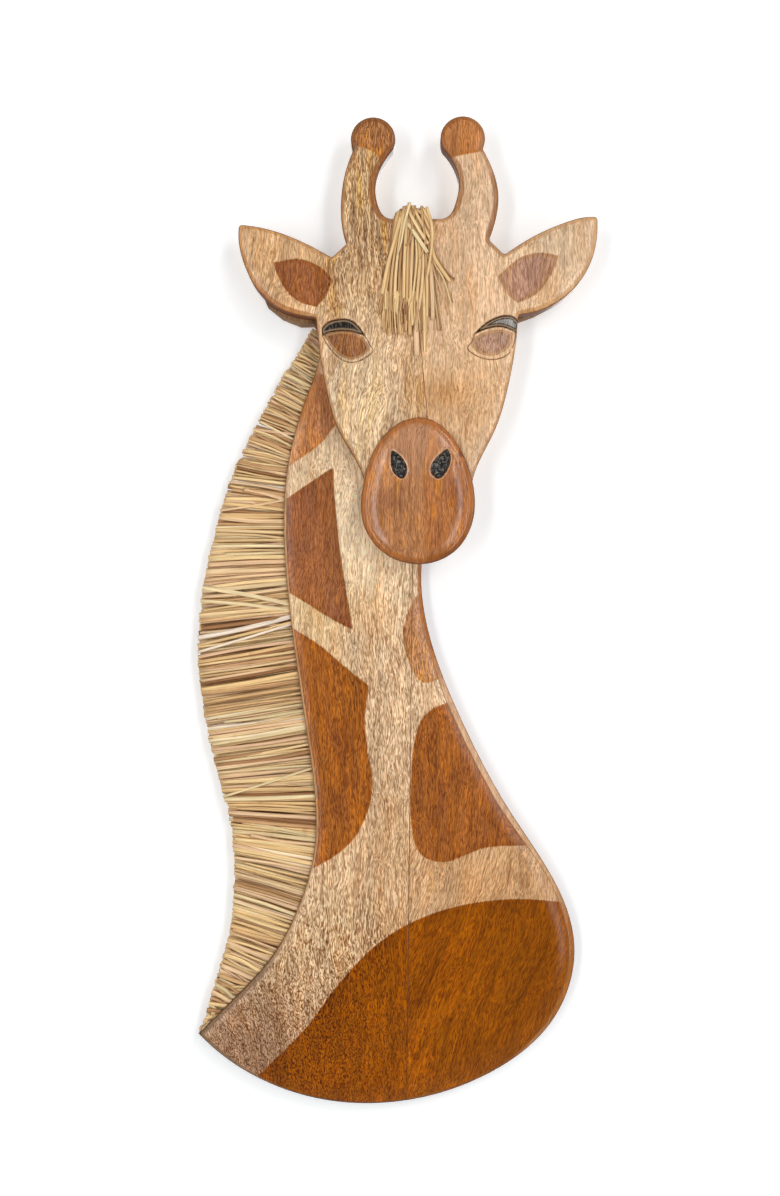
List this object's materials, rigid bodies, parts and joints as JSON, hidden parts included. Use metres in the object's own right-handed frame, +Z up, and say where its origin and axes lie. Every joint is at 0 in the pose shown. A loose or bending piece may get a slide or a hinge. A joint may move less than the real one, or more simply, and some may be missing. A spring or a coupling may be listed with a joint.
{
  "type": "carved giraffe wall plaque",
  "caption": "Wall-hung carved wooden giraffe head and neck in flat relief, with stained patches, a cut straw mane and a straw forelock.",
  "frame": {"origin": "centre of the keyhole in the hanger plate, on the back face that lies on the wall", "axes": "+X to the viewer's right, +Z up, the carved front faces -Y, the wall is the plane Y = 0"},
  "size_m": [0.2394, 0.035, 0.5896],
  "materials": {
    "pale_wood": "satin lacquer over hand-sanded grain, stained patches",
    "stained_wood": "satin lacquer over brown stain",
    "raw_wood": "raw, sawn",
    "straw": "dry cut straw",
    "steel": "zinc-plated"
  },
  "bodies": {
    "root": {"neck_plank_left": "pale_wood", "neck_plank_right": "pale_wood", "neck_seam_dowels": "raw_wood", "head_plank_left": "pale_wood", "head_plank_right": "pale_wood", "head_seam_dowels": "raw_wood", "ear_batten": "pale_wood", "muzzle_plate": "stained_wood", "muzzle_dowels": "raw_wood", "head_screws": "steel", "batten_screws": "steel", "forelock_under_layer": "straw", "forelock_front_layer": "straw", "forelock_crossing_strands": "straw", "forelock_staples": "steel", "hanger_plate": "steel", "hanger_screws": "steel", "mane_clump_01": "straw", "mane_clump_02": "straw", "mane_clump_03": "straw", "mane_clump_04": "straw", "mane_clump_05": "straw", "mane_clump_06": "straw", "mane_clump_07": "straw", "mane_clump_08": "straw", "mane_clump_09": "straw", "mane_clump_10": "straw", "mane_clump_11": "straw", "mane_clump_12": "straw", "mane_clump_13": "straw", "mane_clump_14": "straw", "mane_clump_15": "straw", "mane_clump_16": "straw", "mane_clump_17": "straw", "mane_clump_18": "straw", "mane_clump_19": "straw", "mane_clump_20": "straw", "mane_clump_21": "straw", "mane_clump_22": "straw", "mane_clump_23": "straw", "mane_clump_24": "straw"}
  },
  "joints": []
}
